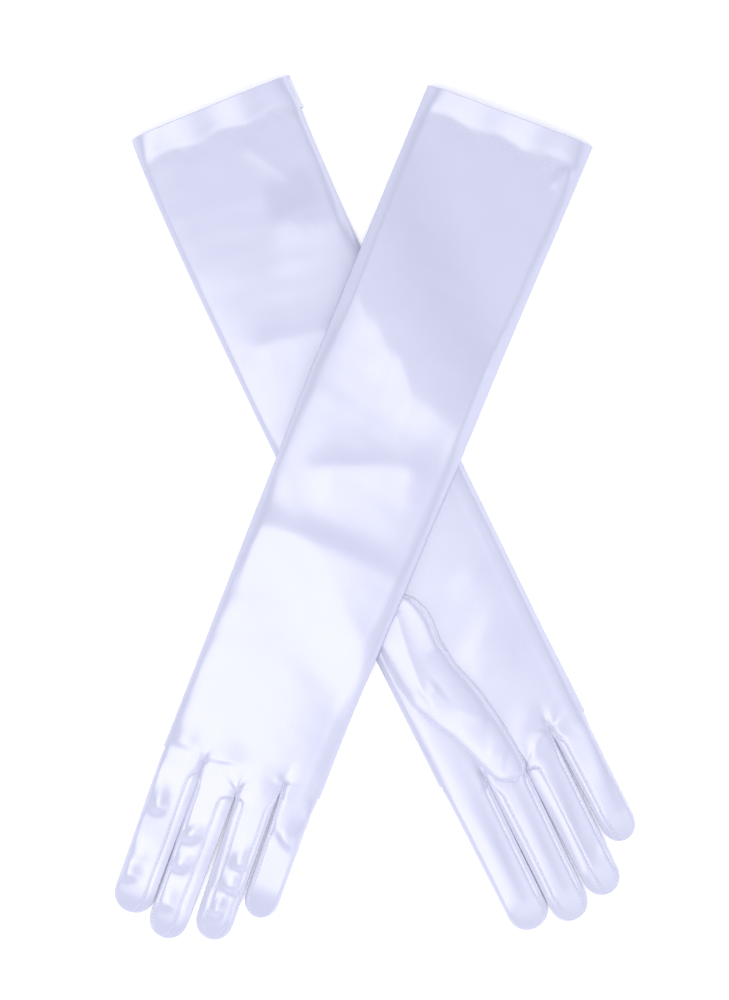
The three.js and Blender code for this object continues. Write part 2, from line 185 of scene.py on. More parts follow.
def woven(name, colour, shade, roughness, specular, anisotropic, thread, strength):
    """Woven cloth. thread is the spacing of its drawn threads in millimetres."""
    material = bpy.data.materials.new(name)
    material.use_nodes = True
    tree = material.node_tree
    tree.nodes.clear()
    uv = add_node(tree, "ShaderNodeUVMap", {"uv_map": "Cloth"})
    wave = {"wave_type": "BANDS", "@Scale": 1 / thread / 2 / math.pi, "@Distortion": 1.2, "@Detail": 2.0}
    warp = add_node(tree, "ShaderNodeTexWave", {**wave, "bands_direction": "X"}, Vector=uv.outputs["UV"])
    weft = add_node(tree, "ShaderNodeTexWave", {**wave, "bands_direction": "Y"}, Vector=uv.outputs["UV"])
    blend = {"operation": "MULTIPLY_ADD", "@1": 0.3}
    floats = add_node(tree, "ShaderNodeMath", blend, _0=weft.outputs["Fac"], _2=warp.outputs["Fac"])
    patches = {"@Scale": 0.045, "@Detail": 5.0, "@Roughness": 0.6}
    cloudy = add_node(tree, "ShaderNodeTexNoise", patches, Vector=uv.outputs["UV"])
    tone = add_node(
        tree,
        "ShaderNodeMix",
        {"data_type": "RGBA", "@6": linear(colour), "@7": linear(shade)},
        _0=cloudy.outputs["Fac"],
    )
    # painted shade: the colour darkens towards a grey lavender where a point attribute marks the label
    # inside the sleeve and a patch beside it
    beneath = add_node(tree, "ShaderNodeAttribute", {"attribute_name": "painted_label_shade"})
    darkened = add_node(
        tree,
        "ShaderNodeMix",
        {"data_type": "RGBA", "@7": linear("#B4B6CC")},
        _0=beneath.outputs["Fac"],
        _6=tone.outputs[2],
    )
    bump = add_node(
        tree, "ShaderNodeBump", {"@Strength": strength, "@Distance": 0.0001}, Height=floats.outputs[0]
    )
    tangent = add_node(tree, "ShaderNodeTangent", {"direction_type": "UV_MAP", "uv_map": "Cloth"})
    shader = add_node(
        tree,
        "ShaderNodeBsdfPrincipled",
        {
            "@Roughness": roughness,
            "@IOR": 1.55,
            "@Specular IOR Level": specular,
            "@Anisotropic": anisotropic,
            "@Sheen Weight": 0.06,
            "@Sheen Roughness": 0.4,
            "@Sheen Tint": linear("#F4F4FF"),
        },
        Base_Color=darkened.outputs[2],
        Normal=bump.outputs["Normal"],
        Tangent=tangent.outputs["Tangent"],
    )
    add_node(tree, "ShaderNodeOutputMaterial", Surface=shader.outputs["BSDF"])
    return material


# threads of satin lie 0.1 mm apart; they are drawn 0.8 mm apart, the finest that shows
white_satin = woven("Woven white stretch satin", "#CFD0E3", "#CACBDF", 0.25, 1.0, 0.3, 0.8, 0.045)
satin_back = woven("Matt woven back of the satin", "#E6E7F1", "#E0E1EC", 0.6, 0.4, 0.0, 0.8, 0.08)


def grid_faces(rows, columns, first):
    """Quads of a tube whose points run ring by ring, with each quad's place round the ring."""
    j, i = np.meshgrid(np.arange(rows - 1), np.arange(columns), indexing="ij")
    a = first + j * columns + i
    b = first + j * columns + (i + 1) % columns
    return np.stack([a, b, b + columns, a + columns], -1).reshape(-1, 4), i.reshape(-1)


def merged(points):
    """Which points stay when those that coincide are merged, and the new number of each point."""
    keys = np.round(points * 1e4).astype(np.int64)
    _, kept, number = np.unique(keys, axis=0, return_index=True, return_inverse=True)
    return kept, number.reshape(-1)


def welded(points, faces):
    """Merges points that coincide, and returns the points, the faces and the outward normals."""
    kept, number = merged(points)
    points, faces = points[kept], number[faces]
    a, b, c, d = (points[faces[:, k]] for k in range(4))
    face_normal = np.cross(c - a, d - b)
    normals = np.zeros_like(points)
    for k in range(4):
        np.add.at(normals, faces[:, k], face_normal)
    length = np.linalg.norm(normals, axis=1, keepdims=True)
    normals = np.where(length > 1e-9, normals / np.maximum(length, 1e-9), [0.0, 0.0, 1.0])
    return points, faces, normals


def cloth_shell(name, points, faces, normals, uv, outer=white_satin, inner=satin_back):
    """A closed thin shell on those faces, with the cloth's smooth normals across cut edges."""
    used, back = np.unique(faces, return_inverse=True)
    faces = back.reshape(faces.shape)
    p, n, uv = points[used], normals[used], uv[used]
    keep = []
    for f in faces:
        loop = [int(v) for k, v in enumerate(f) if v != f[k - 1]]
        if len(set(loop)) >= 3:
            keep.append(loop)
    edges = {(a, b) for loop in keep for a, b in zip(loop, loop[1:] + loop[:1])}
    count = len(p)
    under = [[v + count for v in reversed(loop)] for loop in keep]
    walls = [[b, a, a + count, b + count] for a, b in sorted(edges) if (b, a) not in edges]
    mesh = bpy.data.meshes.new(name)
    both_sides = np.concatenate([p, p - n * THICKNESS]) / 1000
    mesh.from_pydata(both_sides.tolist(), [], keep + under + walls)
    mesh.polygons.foreach_set("use_smooth", [True] * len(mesh.polygons))
    mesh.polygons.foreach_set("material_index", [0] * len(keep) + [1] * (len(under) + len(walls)))
    corners = np.zeros(len(mesh.loops), np.int64)
    mesh.loops.foreach_get("vertex_index", corners)
    corner_normals = np.concatenate([n, -n])[corners]
    flat = np.zeros(len(mesh.polygons) * 3)
    mesh.polygons.foreach_get("normal", flat)
    wall_normals = flat.reshape(-1, 3)[len(keep) + len(under) :]
    if walls:
        corner_normals[-4 * len(walls) :] = np.repeat(wall_normals, 4, axis=0)
    layer = mesh.uv_layers.new(name="Cloth")
    layer.data.foreach_set("uv", np.concatenate([uv, uv])[corners].reshape(-1))
    mesh.materials.append(outer)
    mesh.materials.append(inner)
    mesh.normals_split_custom_set(corner_normals.tolist())
    mesh.update()
    piece = bpy.data.objects.new(name, mesh)
    bpy.context.scene.collection.objects.link(piece)
    return piece


# ---- Creases and folds -------------------------------------------------------------------------
# What the empty cloth does where it lies over the other glove, the thumb and its own seams. Each
# crease follows a line of points; its height fades over the two distances, to the left of the
# line's direction and to the right of it, and over fade at its ends.

CREASES = {
    "left": [
        dict(line=[(-38, 191), (-20, 197), (0, 206), (18, 212), (44, 217)],
             height=1.7, left=11, right=17, fade=22, crest=3),
        dict(line=[(-54, 146), (-30, 152), (0, 157), (30, 154), (50, 150)],
             height=0.8, left=14, right=26, fade=6, crest=2.5),
        dict(line=[(36, 396), (47, 408)], height=0.6, left=3, right=3, fade=4),
        dict(line=[(40, 410), (52, 398)], height=0.7, left=2.2, right=3, fade=3),
        dict(line=[(28, 398), (38, 404)], height=-0.4, left=3, right=3, fade=4),
    ],
    "right": [
        dict(line=[(-46, 288), (-20, 286), (0, 281), (24, 274)],
             height=0.9, left=8, right=14, fade=18, crest=3),
        dict(line=[(-4, 352), (18, 345), (34, 338), (52, 330)],
             height=1.2, left=14, right=20, fade=16, crest=4),
        dict(line=[(4, 404), (14, 388), (26, 366)], height=0.5, left=6, right=4, fade=12, crest=2),
        dict(line=[(-3, 66), (28, 66)], height=0.18, left=4, right=5, fade=6),
        dict(line=[(24, 16), (14, 12), (9, 3)], height=0.7, left=3.0, right=4.0, fade=4),
        dict(line=[(44, 60), (44, 20), (43, -30)], height=0.35, left=5, right=5, fade=12),
        dict(line=[(40, 398), (50, 408)], height=0.5, left=2.6, right=3, fade=4),
        dict(line=[(42, 392), (50, 380)], height=0.4, left=3, right=3, fade=4),
    ],
}
# soft round swells and, with a negative height, hollows: middle x and y, half length, half width on
# the lower and on the upper side, height, and the turn of its length from x in degrees
SWELLS = {
    "left": [
        (-38, 105, 10, 8, 4, 0.3, 5), (-38, 81, 9, 8, 4, 0.3, 8),
        (-37, 41, 8, 7, 3.5, 0.28, 5), (-37, 19, 5, 2.4, 7, 1.0, 5),
        (-13, 18.3, 8, 1.8, 7, 1.0, 14), (13, 9.5, 5, 2.2, 7, 0.6, 0),
        (-38, 2, 10, 6, 4.0, 0.3, 35), (-37, -20.6, 3.4, 3.2, 7, 2.0, 15),
        (-37, -51, 4.5, 3.2, 6, 1.0, 20), (-39, -63.4, 4.8, 3.3, 6, 1.9, 8),
        (-14, -29.8, 3.2, 3.0, 6, 2.0, -35), (-13.3, -47.8, 3.8, 3.1, 6, 2.1, -30),
        (-12, -71.0, 4.5, 3.2, 6, 1.2, 0), (19, -34.0, 3.4, 3.0, 6, 2.0, 5),
        (19, -47.8, 5.0, 3.1, 6, 2.2, 8), (17, -64.4, 2.6, 2.6, 6, 1.6, 0),
        (38, -9.8, 6, 3.0, 7, 1.9, -38),
    ],
    "right": [
        (-33, -42, 24, 2.6, 8.0, 0.85, 90), (-9, -42, 26, 2.6, 6.0, 0.75, 90),
        (13, -30, 26, 2.8, 6.0, 0.75, 87), (40, -24, 20, 3.0, 7.0, 0.75, 86),
        (20, -58, 5, 3.0, 3.0, -0.35, 60), (12, 24, 12, 4, 5, 0.3, 40),
        (-36, -20, 24, 3.5, 4.0, 0.3, 90), (10, -40, 22, 2.6, 2.6, 0.35, 88),
        (-46, 25, 26, 9, 9, 0.5, 90), (11, 78.5, 13, 14, 5.5, 0.8, 33),
        (23, 116, 8, 9, 3, 0.5, 5),
    ],
}
# the line over which the left sleeve comes down: the upper side edge of the right one beneath it
RIDGE_X, RIDGE_Y = (-54, -30, -10, 12, 30, 54), (305, 286, 273, 254, 250, 249)
# where the cloth is drawn together at the end of a slit: middle x and y, reach, number of tucks
GATHERS = {
    "left": [(1.5, 4.0, 5.0, 7), (25.6, 18.0, 3.5, 5), (-23, 12, 3.0, 5)],
    "right": [(4.0, 3.0, 5.5, 7), (25.0, 15.0, 5.5, 7)],
}
TUCK_HEIGHT = 0.34


def crease_height(x, y, line, height, left, right, fade, crest=1.2):
    nearest = np.full(np.shape(x), 1e9)
    signed = np.zeros(np.shape(x))
    at = np.zeros(np.shape(x))
    run = 0.0
    for (x0, y0), (x1, y1) in zip(line, line[1:]):
        length = math.hypot(x1 - x0, y1 - y0)
        tx, ty = (x1 - x0) / length, (y1 - y0) / length
        t = np.clip((x - x0) * tx + (y - y0) * ty, 0, length)
        dx, dy = x - x0 - t * tx, y - y0 - t * ty
        distance = np.hypot(dx, dy)
        closer = distance < nearest
        nearest = np.where(closer, distance, nearest)
        signed = np.where(closer, np.where(tx * dy - ty * dx > 0, distance, -distance), signed)
        at = np.where(closer, run + t, at)
        run += length
    width = np.where(signed > 0, left, right)
    ends = smooth(at / fade) * smooth((run - at) / fade)
    rounded = np.sqrt(signed**2 + crest**2) - crest
    return height * np.exp(-rounded / width) * ends


def sleeve_ridge(x, y):
    """The left sleeve's long fall towards the mouth, and its shorter one towards the hand."""
    beyond = 0.85 * (y - stepped(x, RIDGE_X, RIDGE_Y))
    rounded = np.sqrt(beyond**2 + 9.0) - 3.0
    return 2.7 * np.exp(-rounded / np.where(beyond > 0, 95.0, 20.0))


def soft_noise(x, y, size, seed):
    """Smooth random unevenness, mostly between -1 and 1, of about that size across."""
    rng = np.random.default_rng(seed)
    total = np.zeros(np.shape(x))
    for _ in range(7):
        angle, phase = rng.uniform(0, math.pi), rng.uniform(0, 2 * math.pi)
        wave = 2 * math.pi / (size * rng.uniform(0.7, 1.5))
        total += np.sin((x * math.cos(angle) + y * math.sin(angle)) * wave + phase)
    return total / 4


def relief(side, x, y):
    """Everything that lifts or lowers the upper layer of a glove from its even fullness."""
    height = sum(crease_height(x, y, **crease) for crease in CREASES[side])
    for cx, cy, half_length, lower, upper, rise, turn in SWELLS[side]:
        c, s = math.cos(math.radians(turn)), math.sin(math.radians(turn))
        along, across = (x - cx) * c + (y - cy) * s, (y - cy) * c - (x - cx) * s
        breadth = np.where(across > 0, upper, lower)
        height = height + rise * np.exp(-0.5 * ((along / half_length) ** 2 + (across / breadth) ** 2))
    for cx, cy, reach, tucks in GATHERS[side]:
        away, around = np.hypot(x - cx, y - cy) / reach, np.arctan2(y - cy, x - cx)
        height = height + TUCK_HEIGHT * np.sin(tucks * around + cx) * away * np.exp(1 - 1.6 * away)
    if side == "left":
        height = height + sleeve_ridge(x, y)
    return height + 0.10 * soft_noise(x, y, 46, 5) + 0.04 * soft_noise(x, y, 17, 8)


# ---- Tranks ------------------------------------------------------------------------------------
# Back and palm of each glove in one piece of satin, from the arm opening to the roots of the
# fingers. Empty, it lies as a flattened tube; the hem stiffens its mouth, which gapes a little.

EDGE_ROUND = 1.3  # how far the folded side edges bulge past the flat layers
WALL_POINTS = 4  # points between the upper and the lower layer at a side
PANEL_COLUMNS = 16  # columns across the middle panel of one finger
ROOT_STRIP = 0.8  # width of a fourchette where it starts in the slit


def column_places(width, strip_left, strip_right):
    """Distances from the left edge of the columns across one finger, close to each seam."""
    left, right = [0.0], [0.0]
    for strip, places in ((strip_left, left), (strip_right, right)):
        if strip > 0:
            near = min(1.0, strip / 2.5)
            places += [strip * 0.45, strip - near, strip - 0.4 * near, strip]
            places += [strip + 0.4 * near, strip + near]
    inner = np.linspace(left[-1], width - right[-1], PANEL_COLUMNS + 1)
    return np.concatenate([left[:-1], inner, width - np.array(right[:-1])[::-1]])


def strips_at_root(side, name):
    return [ROOT_STRIP if strip else 0 for strip in STRIPS[side][name]]


def wall(upper, lower, bulge):
    """Points that round off a side between the two layers."""
    angle = np.linspace(0, math.pi, WALL_POINTS + 2)[1:-1, None]
    between = (upper + lower) / 2 + (upper - lower) / 2 * np.cos(angle)
    return between + np.array(bulge) * np.sin(angle)


def close_ring(upper, lower, wall_left, wall_right):
    """One ring of a flattened tube: top left to right, down the right wall, back, up the left."""
    return np.concatenate([upper, wall_right, lower[::-1], wall_left[::-1]])


FULLNESS = {"right": (5.4, 5.2, 5.2, 5.4, 5.6), "left": (5.6, 5.5, 5.4, 5.4, 5.6)}
FULLNESS_AT = (0.16, 0.24, 0.66, 0.82, 1)


def upper_height(side, x, y, middle, half):
    """Height of the upper layer of sleeve and hand above the table or what the glove lies on."""
    q = np.clip(np.abs(x - middle) / half, 0, 1)
    full = stepped(y / SLEEVE_LENGTH, FULLNESS_AT, FULLNESS[side])
    crown = full * (0.66 + 0.34 * np.sqrt(1 - q**8))
    ragged = 1.5 * soft_noise(x, 0 * y, 26, 3)
    into_hem = y - SLEEVE_LENGTH + HEM_DEPTH - 4 - ragged
    hem = smooth(into_hem / 5)
    lip = 0.19 * np.maximum(into_hem, 0) * hem * (1 - q**8)
    tucks = 0.16 * np.exp(-(((y - SLEEVE_LENGTH + HEM_DEPTH) / 2.2) ** 2)) * soft_noise(x, 0 * y, 7, 21)
    below_hem = smooth((SLEEVE_LENGTH - HEM_DEPTH - y) / 10)
    under_seam = np.minimum(smooth((x - middle - half + 11) / 5), below_hem)
    slits = 0
    for cx, cy in CROTCHES[side][1:-1]:
        reach = np.maximum(y - cy, 0)
        slits = slits + 1.8 * np.exp(-(((x - cx) / (1.3 + 0.2 * reach)) ** 2) - reach / 4.5)
    uneven = relief(side, x, y) * smooth((1 - q) / 0.12)
    return crown + uneven + lip + tucks + 0.12 * under_seam * smooth((1 - q) / 0.05) - slits


def sleeve_section(side, x, y, level):
    """The upper and the lower layer above a row of points, with their sides and the mouth's slant."""
    glove = GLOVES[side]
    middle = float(sleeve_middle(glove, level))
    half = float(sleeve_half_width(glove, level)) - EDGE_ROUND
    upper = np.stack([x, y, upper_height(side, x, y, middle, half)], -1)
    q = np.clip(np.abs(x - middle) / half, 0, 1)
    lip = 1.5 * smooth((y - SLEEVE_LENGTH + 30) / 30) * (1 - q**4)
    lower = np.stack([x, y + lip, 0.4 * smooth((q - 0.9) / 0.1)], -1)
    left_wall = wall(upper[0], lower[0], (-EDGE_ROUND, 0, 0))
    right_wall = wall(upper[-1], lower[-1], (EDGE_ROUND, 0, 0))
    ring = close_ring(upper, lower, left_wall, right_wall)
    slant = glove["slant"] / 101 * smooth((ring[:, 1] - 250) / (SLEEVE_LENGTH - 250))
    ring[:, 1] += slant * (ring[:, 0] - middle)
    return ring


def hand_rings(side):
    """The rings of sleeve and hand, from the finger roots to the arm opening."""
    glove = GLOVES[side]
    root_x, root_y = [], []
    for name, (x0, y0), (x1, y1) in zip(FINGERS, CROTCHES[side], CROTCHES[side][1:]):
        share = column_places(x1 - x0, *strips_at_root(side, name)) / (x1 - x0)
        keep = slice(0, None) if name == "little" else slice(0, -1)
        root_x.append((x0 + share * (x1 - x0))[keep])
        root_y.append((y0 + share * (y1 - y0))[keep])
    root_x, root_y = np.concatenate(root_x), np.concatenate(root_y)
    even = np.linspace(-1, 1, len(root_x))
    rings = []
    for t in np.concatenate([np.linspace(0, 0.07, 42, endpoint=False), np.linspace(0.07, 1, 150)]):
        y = root_y * (1 - t) + SLEEVE_LENGTH * t
        level = float(y.mean())
        middle = float(sleeve_middle(glove, level))
        half = float(sleeve_half_width(glove, level))
        spread = smooth((level - 12) / 60)
        at_root = root_x + (middle - float(sleeve_middle(glove, 12.0)))
        x = at_root * (1 - spread) + (middle + even * half) * spread
        x = middle + (x - middle) * (half - EDGE_ROUND) / half
        rings.append(sleeve_section(side, x, y, level))
    return np.array(rings)


# ---- Fingers -----------------------------------------------------------------------------------
# Each finger is a stall, which is the finger's share of the trank, with fourchettes: narrow strips
# that are sewn in along its sides. The seams sink in, and pucker a little with each stitch.

TIP_ROUND = 13.0
FINGER_FULLNESS = 5.6
SEAM_DEPTH = 0.34
SEAM_WIDTH = 0.55
STITCH_PITCH = 2.4  # the real stitches are 1.5 mm long; longer ones show


def finger_rings(side, name, hand):
    """The rings of one finger, from its root on the hand's first ring to its tip."""
    finger = FINGERS[name]
    order = list(FINGERS).index(name)
    angle = math.radians(GLOVES[side]["splay"][order])
    toward = np.array([math.sin(angle), -math.cos(angle)])
    across = np.array([math.cos(angle), math.sin(angle)])
    counts = [len(column_places(20, *strips_at_root(side, n))) - 1 for n in FINGERS]
    first, total = sum(counts[:order]), sum(counts)
    top_root = hand[0][first : first + counts[order] + 1]
    lower = hand[0][total + 1 + WALL_POINTS : 2 * (total + 1) + WALL_POINTS][::-1]
    bottom_root = lower[first : first + counts[order] + 1]
    start = (top_root[0, :2] + top_root[-1, :2]) / 2
    straight = finger["length"][side] - TIP_ROUND
    stops = list(np.linspace(0, straight, 96))
    stops += [straight + TIP_ROUND * math.sin(a) for a in np.linspace(0, math.pi / 2, 15)[1:]]
    rings = []
    for d in stops:
        t = min(max(0.0, (d - straight) / TIP_ROUND), 1.0)
        share = 1 - 0.05 * float(smooth(d / straight))
        if d > straight:
            share = 0.95 * math.sqrt(max(0.0, 1 - t**2.3))
        half = finger["width"] / 2 * share
        settle = float(smooth(d / 12))
        side_bulge = min(0.5, 0.45 * half) * float(smooth(d / 3))
        full_width = max(2 * (half - side_bulge), 1e-3)
        strips = []
        for strip in STRIPS[side][name]:
            wide = ROOT_STRIP + (strip - ROOT_STRIP) * float(smooth(d / 13))
            strips.append(min(wide * share, 0.34 * full_width) + 1e-6 if strip else 0)
        p = column_places(full_width, *strips) - full_width / 2
        q = np.abs(p) / (full_width / 2)
        tip_fall = float(smooth((finger["length"][side] - d + 3) / 24))
        fullness = FINGER_FULLNESS * (0.28 + 0.72 * share) * (0.38 + 0.62 * tip_fall)
        level = fullness * (0.84 + 0.16 * np.sqrt(1 - 0.999 * q**18))
        xy = start + np.outer(p, across)
        base = top_root[:, :2] * (1 - settle) + xy * settle + toward * d
        uneven = relief(side, base[:, 0], base[:, 1]) * np.clip(1 - q**6, 0, 1)
        level = level + uneven * min(1.0, 1.4 * share)
        for strip, from_edge in ((strips[0], p + full_width / 2), (strips[1], full_width / 2 - p)):
            if strip:
                pucker = 1 + 0.4 * math.sin(2 * math.pi * d / STITCH_PITCH)
                groove = SEAM_DEPTH * pucker * np.exp(-(((from_edge - strip) / SEAM_WIDTH) ** 2))
                level = level - groove * float(smooth(d / 4)) * min(1.0, share * 1.5)
        z_top = top_root[:, 2] * (1 - settle) + level * settle
        z_bottom = bottom_root[:, 2] * (1 - settle) + 0.3 * smooth((q - 0.8) / 0.2) * settle
        upper = np.column_stack([base, z_top])
        under = np.column_stack([base, z_bottom])
        if d >= stops[-1]:
            end = np.append(start + toward * d, fullness * 0.3)
            upper[:], under[:] = end, end
        bulge = np.append(across, 0) * side_bulge
        left = wall(upper[0], under[0], -bulge)
        right = wall(upper[-1], under[-1], bulge)
        if d == 0 and order == 0:
            left = hand[0][-WALL_POINTS:][::-1]
        if d == 0 and order == len(FINGERS) - 1:
            right = hand[0][total + 1 : total + 1 + WALL_POINTS]
        if d >= stops[-1]:
            left[:], right[:] = upper[0], upper[0]
        rings.append(close_ring(upper, under, left, right))
    return np.array(rings)


SEAM_COLUMNS = 4  # columns of a fourchette on each layer


def piece_of_quad(side, name, columns, column):
    """Which piece each quad round a finger belongs to."""
    labels = np.full(len(column), name + "_stall", object)
    layer = (columns - 2 * WALL_POINTS) // 2
    left, right = STRIPS[side][name]
    if left:
        strip = (column < SEAM_COLUMNS) | (column >= 2 * layer + WALL_POINTS - 1 - SEAM_COLUMNS)
        labels[strip] = name + "_fourchette_inner"
    if right:
        strip = (column >= layer - 1 - SEAM_COLUMNS) & (column < layer + WALL_POINTS + SEAM_COLUMNS)
        labels[strip] = name + "_fourchette_outer"
    return labels


def bends_with_finger(piece):
    """Bakes the piece's place on the table into its mesh; it is attached to no body."""
    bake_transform(piece)


def finger_flat(side, label):
    """Flat size of one piece of a finger, and its area, in metres."""
    name, part = label.split("_")[:2]
    long, wide = FINGERS[name]["length"][side] / 1000, FINGERS[name]["width"] / 1000
    strips = [strip / 1000 for strip in STRIPS[side][name]]
    if part == "stall":
        return (2 * (wide - sum(strips)), long), None
    strip = strips[0] if label.endswith("inner") else strips[1]
    cut = 2 * strip + 0.005
    return (max(cut, 0.012), long), min(cut, 0.012) / 0.012 * max(cut, 0.012) * long * 0.92


def shade_over_label(piece, glove):
    """Paints shade into the satin's colour: a faint soft-edged painted shade over the label inside,
    standing in for its show-through, and a mottled patch of painted shade beside it.
    """
    x, y = from_table(glove, np.array([v.co[:2] for v in piece.data.vertices]) * 1000).T
    over_label = smooth((19 - np.abs(x - 21)) / 9) * smooth((15 - np.abs(y - 361)) / 8)
    near_label = smooth((8 - np.abs(x - 21)) / 4) * smooth((7 - np.abs(y - 341)) / 3)
    # a mottled patch of painted shade beside the label
    painted_shade_patch = near_label * (0.15 + 0.15 * soft_noise(x, y, 7, 12))
    shade = piece.data.attributes.new("painted_label_shade", "FLOAT", "POINT")
    shade.data.foreach_set("value", np.clip(0.30 * over_label + painted_shade_patch, 0, 1))


seam_paths = {}
for side, glove in GLOVES.items():
    hand = hand_rings(side)
    tubes = {"trank": hand}
    for name in FINGERS:
        tubes[name] = finger_rings(side, name, hand)
    points, faces, piece_of = [], [], []
    first = 0
    for tube, rings in tubes.items():
        rings[..., 2] += table_lift(side, rings[..., 0], rings[..., 1])
        rows, columns = rings.shape[:2]
        quads, column = grid_faces(rows, columns, first)
        if tube == "trank":
            piece_of.append(np.full(len(quads), "trank", object))
        else:
            quads = quads[:, ::-1]
            piece_of.append(piece_of_quad(side, tube, columns, column))
            layer = (columns - 2 * WALL_POINTS) // 2
            for strip, at in zip(STRIPS[side][tube], (SEAM_COLUMNS, layer - 1 - SEAM_COLUMNS)):
                if strip:
                    seam_paths.setdefault((side, tube), []).append(to_table(glove, rings[3:-7, at]))
        points.append(rings.reshape(-1, 3))
        faces.append(quads)
        first += rows * columns
    piece_of = np.concatenate(piece_of)
    points, faces, normals = welded(np.concatenate(points), np.concatenate(faces))
    uv = points[:, :2].copy()
    placed = to_table(glove, points)
    turned = turned_to_table(glove, normals)
    for label in sorted(set(piece_of)):
        piece = cloth_shell(f"{side}_{label}_cloth", placed, faces[piece_of == label], turned, uv)
        if label == "trank":
            if side == "right":
                # painted shade over the label inside the right sleeve, and beside it
                shade_over_label(piece, glove)
            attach(piece, f"{side}_glove")
        else:
            bends_with_finger(piece)
            flat, area = finger_flat(side, label)
        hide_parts(f"{side}_{label}")


# ---- Hems --------------------------------------------------------------------------------------
# At the arm opening the satin is turned in over 20 mm and sewn down. The turned-in layer shows its
# matt back only at the raw edge inside; its rolled lip is the rim of the opening.

HEM_ROWS = 14
HEM_BELOW = THICKNESS + 0.25  # from the outer face to that of the turned-in layer
LIP_ROLL = 0.45  # radius of the rolled lip

for side, glove in GLOVES.items():
    middle = float(sleeve_middle(glove, SLEEVE_LENGTH))
    rows = []
    for t in np.linspace(0, 1, HEM_ROWS):
        level = SLEEVE_LENGTH - HEM_DEPTH + t * (HEM_DEPTH - 0.2)
        half = float(sleeve_half_width(glove, level)) - EDGE_ROUND
        x = middle + np.linspace(-1, 1, 90) * half
        rows.append(sleeve_section(side, x, np.full(len(x), level), level))
    rows = np.array(rows)
    rows[..., 2] += table_lift(side, rows[..., 0], rows[..., 1])
    quads, _ = grid_faces(HEM_ROWS, rows.shape[1], 0)
    _, _, point_normals = welded(rows.reshape(-1, 3), quads)
    _, number = merged(rows.reshape(-1, 3))
    ring_normals = point_normals[number].reshape(rows.shape)
    inside = rows - ring_normals * HEM_BELOW
    mouth = inside[-1]
    rolled = []
    for angle in np.linspace(0, math.pi, 7)[1:]:
        roll = mouth + ring_normals[-1] * (0.36 * (1 - math.cos(angle)))
        rolled.append(roll + np.array([0, LIP_ROLL * math.sin(angle), 0]))
    rows = np.concatenate([inside, np.array(rolled)])
    quads, _ = grid_faces(len(rows), rows.shape[1], 0)
    points, quads, normals = welded(rows.reshape(-1, 3), quads[:, ::-1])
    turned = turned_to_table(glove, normals)
    hem = cloth_shell(f"{side}_hem_cloth", to_table(glove, points), quads, turned, points[:, :2].copy())
    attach(hem, f"{side}_glove")
    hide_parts(f"{side}_hem")


# ---- Thumbs ------------------------------------------------------------------------------------
# Each thumb is a closed tube, set into a round hole in the palm and folded flat towards the middle
# finger. The right one lies on top of its palm, and the left one between its palm and the table.

# the flat thumb's two side edges, at these distances from the roots of the fingers
THUMB_Y = (-3, 0, 5, 10, 22, 36, 52, 62, 75, 90, 103, 110, 118, 124)
THUMB_LEFT = (-8, -14, -17, -19, -23, -28.5, -37.5, -41.5, -44.3, -45.0, -44.3, -39, -32, -22)
THUMB_RIGHT = (-2, 3, 4.2, 4.0, 3.0, 1.0, -1.8, -4.6, -8.6, -10.6, -9.8, -10.6, -14, -18)
THUMB_TOP, THUMB_TIP = THUMB_Y[-1], THUMB_Y[0]
THUMB_FULLNESS = 3.4
THUMB_ABOVE_PALM = 0.5  # it swings clear of the palm's creases
THUMB_COLUMNS, THUMB_ROWS = 40, 110
# folds of the empty thumb, as the palm's creases
THUMB_CREASES = [
    dict(line=[(-27, 118), (-31, 90), (-33, 62)], height=0.5, left=3.0, right=4.0, fade=6),
    dict(line=[(-36, 57), (-20, 50), (-4, 36)], height=0.45, left=7.0, right=4.0, fade=5),
    dict(line=[(-35, 63), (-22, 66)], height=0.6, left=4.0, right=5.0, fade=4),
    dict(line=[(-14, 20), (-4, 12)], height=0.3, left=4.0, right=4.0, fade=3),
    dict(line=[(-45, 100), (-44, 80), (-41, 64)], height=-0.8, left=1.6, right=1.6, fade=5),
    dict(line=[(-6.5, 64), (-1.5, 46), (0.5, 30)], height=-0.5, left=1.2, right=1.2, fade=5),
    dict(line=[(-22, 128), (-16, 114), (-13.5, 102), (-14, 84)],
         height=0.9, left=1.4, right=4.0, fade=3),
]

